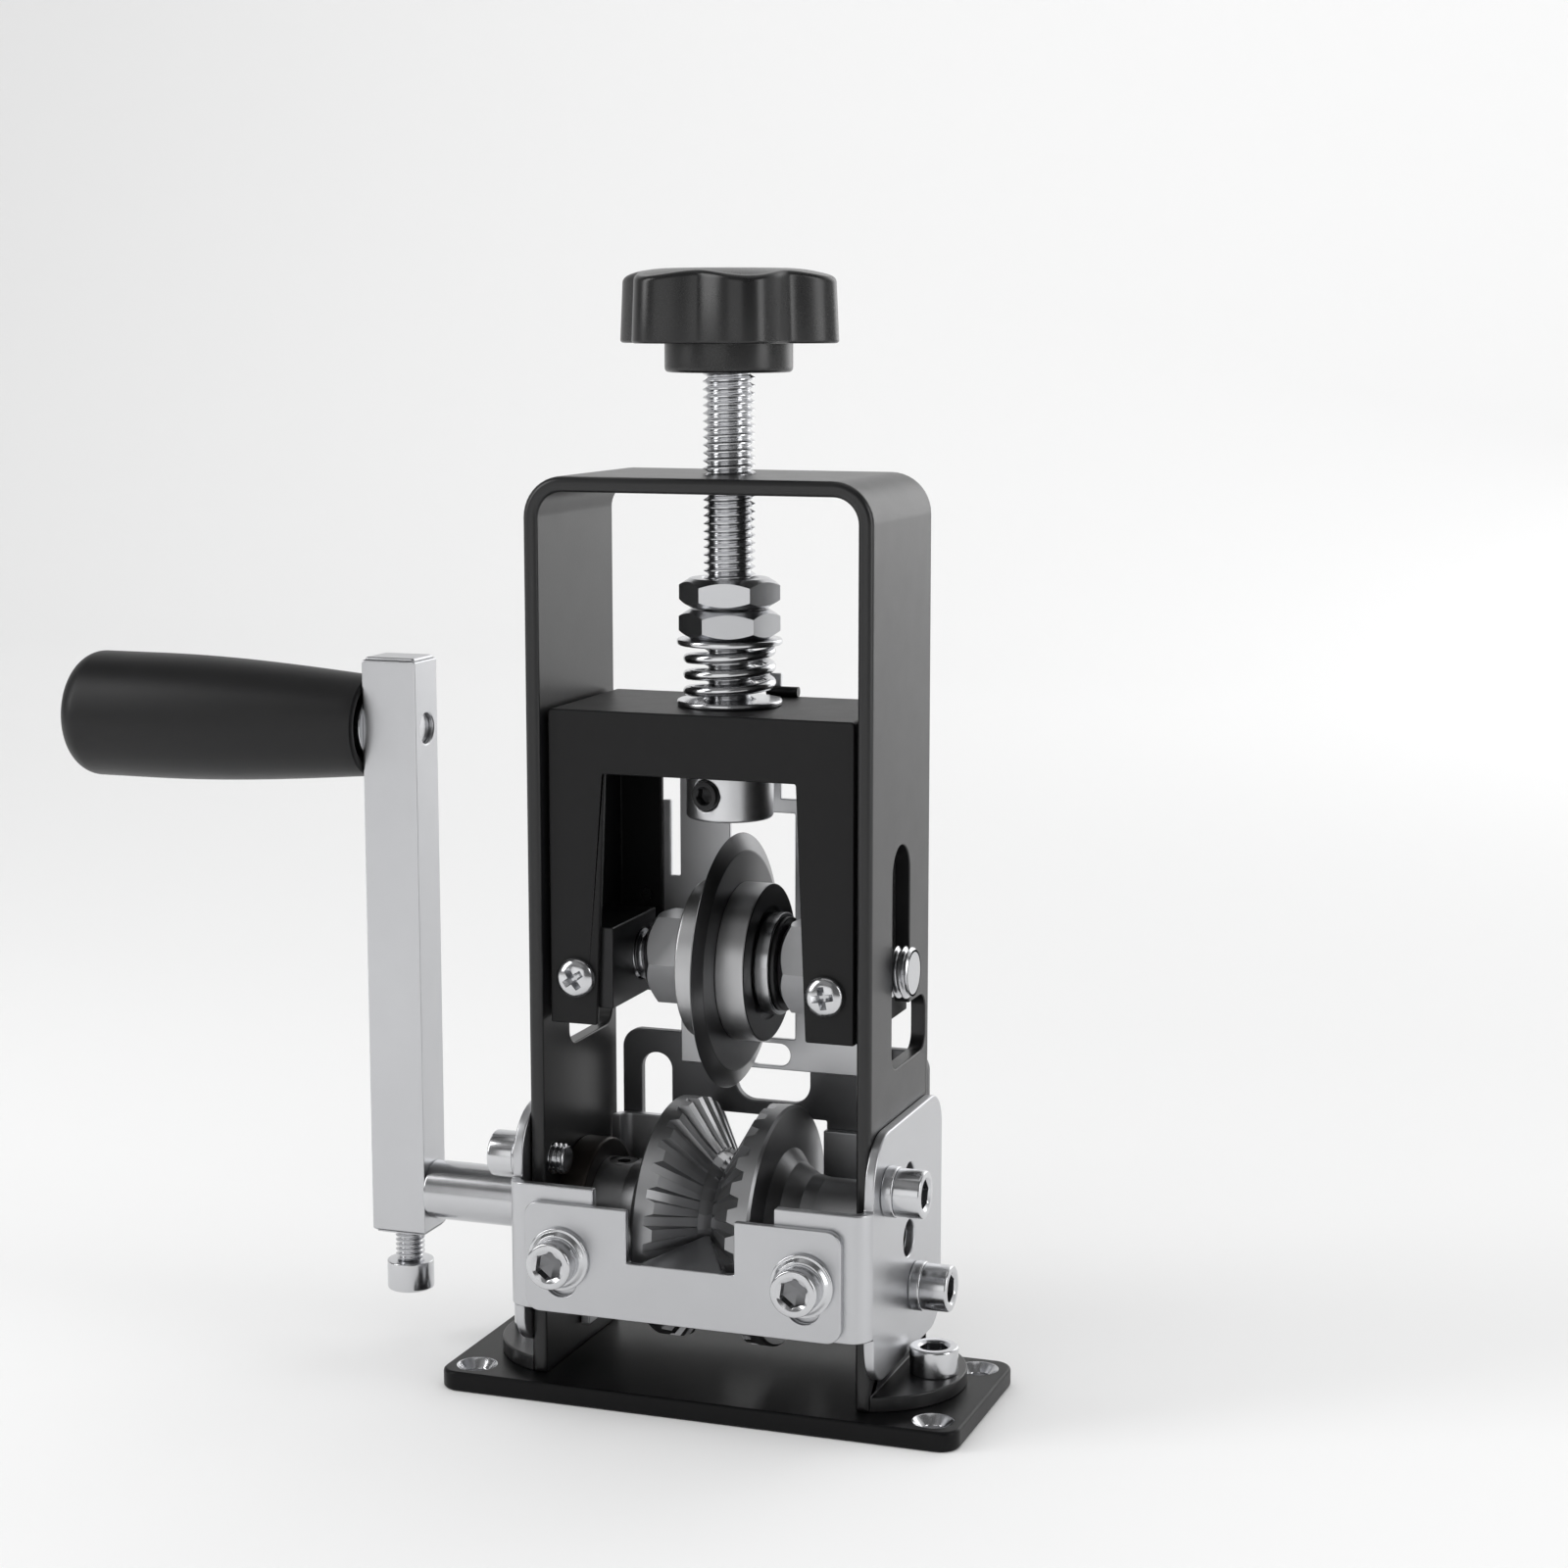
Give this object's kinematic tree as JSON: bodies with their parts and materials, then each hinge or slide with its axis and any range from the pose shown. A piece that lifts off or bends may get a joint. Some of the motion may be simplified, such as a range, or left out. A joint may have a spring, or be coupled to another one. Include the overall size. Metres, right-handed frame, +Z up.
{
  "type": "hand crank wire stripper",
  "caption": "Bench wire stripper: a hand crank turns a toothed feed roller under a round blade that sits in a screw-adjusted carriage inside a tall bent steel frame.",
  "frame": {"origin": "centre of the four bench holes on the underside of the base plate", "axes": "+Z up along the pressure screw, +X along the drive shaft away from the crank, +Y from the feeding side to the rear"},
  "size_m": [0.1976, 0.0626, 0.2198],
  "materials": {
    "black_frame": "satin black powder coat",
    "black_carriage": "satin black powder coat",
    "bracket_steel": "satin",
    "plate_steel": "satin",
    "dark_plate": "dark satin",
    "screw_chrome": "polished",
    "shaft_steel": "fine turned",
    "roller_steel": "hardened dark",
    "bearing_bronze": "oiled dark bronze",
    "bar_aluminium": "satin with softened edges",
    "grip_plastic": "soft matte",
    "knob_plastic": "semi-gloss",
    "spring_steel": "bright wire",
    "blade_steel": "dark hardened",
    "flange_steel": "turned",
    "black_steel": "black oxide"
  },
  "bodies": {
    "frame": {"base_plate": "black_frame", "main_frame": "black_frame", "foot_screws": "screw_chrome", "guide_bracket": "bracket_steel", "bracket_screws": "screw_chrome", "bracket_spacers": "screw_chrome", "left_bearing": "bearing_bronze", "right_bearing": "bearing_bronze", "rear_cross_plate": "dark_plate", "cross_plate_rivets": "screw_chrome", "guide_plate_screws": "screw_chrome", "guide_plate_washers": "screw_chrome", "guide_plate_nuts": "screw_chrome", "rear_guide_screws": "screw_chrome", "rear_guide_washers": "screw_chrome"},
    "crank": {"drive_shaft": "shaft_steel", "feed_roller": "roller_steel", "roller_set_screw": "black_steel", "thrust_washer": "screw_chrome", "crank_bar": "bar_aluminium", "crank_clamp_screw": "screw_chrome", "handle_axle": "screw_chrome"},
    "grip": {"handle_grip": "grip_plastic"},
    "screw_carrier": {"upper_spring_washer": "screw_chrome", "pressure_spring": "spring_steel"},
    "adjuster": {"pressure_screw": "screw_chrome", "star_knob": "knob_plastic", "upper_lock_nut": "screw_chrome", "lower_lock_nut": "screw_chrome", "screw_collar": "shaft_steel", "collar_set_screw": "black_steel"},
    "carriage": {"lower_spring_washer": "screw_chrome", "blade_carriage": "black_carriage", "carriage_screws": "screw_chrome", "carriage_rear_plate": "plate_steel", "rear_plate_rivets": "screw_chrome", "rear_plate_pin": "black_steel", "shaft_blocks": "black_steel", "blade_shaft": "shaft_steel", "left_shaft_nut": "screw_chrome", "right_shaft_nut": "screw_chrome"},
    "blade": {"cutting_blade": "blade_steel", "left_blade_flange": "flange_steel", "right_blade_flange": "flange_steel", "blade_bush": "screw_chrome", "bush_ring": "black_steel"},
    "front_guide": {"front_guide_plate": "bracket_steel"},
    "rear_guide": {"rear_guide_plate": "dark_plate"}
  },
  "joints": [
    {"name": "crank_turn", "type": "hinge", "parent": "frame", "child": "crank", "pos_m": [0, 0.0025, 0.0335], "axis": [1, 0, 0], "continuous": true},
    {"name": "grip_spin", "type": "hinge", "parent": "crank", "child": "grip", "pos_m": [-0.11, 0.0025, 0.129], "axis": [1, 0, 0], "continuous": true},
    {"name": "knob_turn", "type": "hinge", "parent": "screw_carrier", "child": "adjuster", "pos_m": [0, 0.0025, 0.2], "axis": [0, 0, 1], "range_deg": [-1800, 3600]},
    {"name": "screw_travel", "type": "slide", "parent": "frame", "child": "screw_carrier", "axis": [0, 0, 1], "range_m": [-0.0075, 0.015]},
    {"name": "carriage_lift", "type": "slide", "parent": "screw_carrier", "child": "carriage", "axis": [0, 0, 1], "range_m": [0, 0.0016], "stiffness_N_per_m": 12000, "springref_m": -0.001, "deforming": ["pressure_spring"]},
    {"name": "blade_spin", "type": "hinge", "parent": "carriage", "child": "blade", "pos_m": [0, 0.0025, 0.0862], "axis": [1, 0, 0], "continuous": true},
    {"name": "front_guide_slide", "type": "slide", "parent": "frame", "child": "front_guide", "axis": [0, 0, 1], "range_m": [-0.002, 0.004]},
    {"name": "rear_guide_slide", "type": "slide", "parent": "frame", "child": "rear_guide", "axis": [0, 0, 1], "range_m": [-0.002, 0.003]}
  ],
  "couplings": [
    {"joint": "knob_turn", "follows": "screw_travel", "rad_per_m": 4188.8}
  ]
}
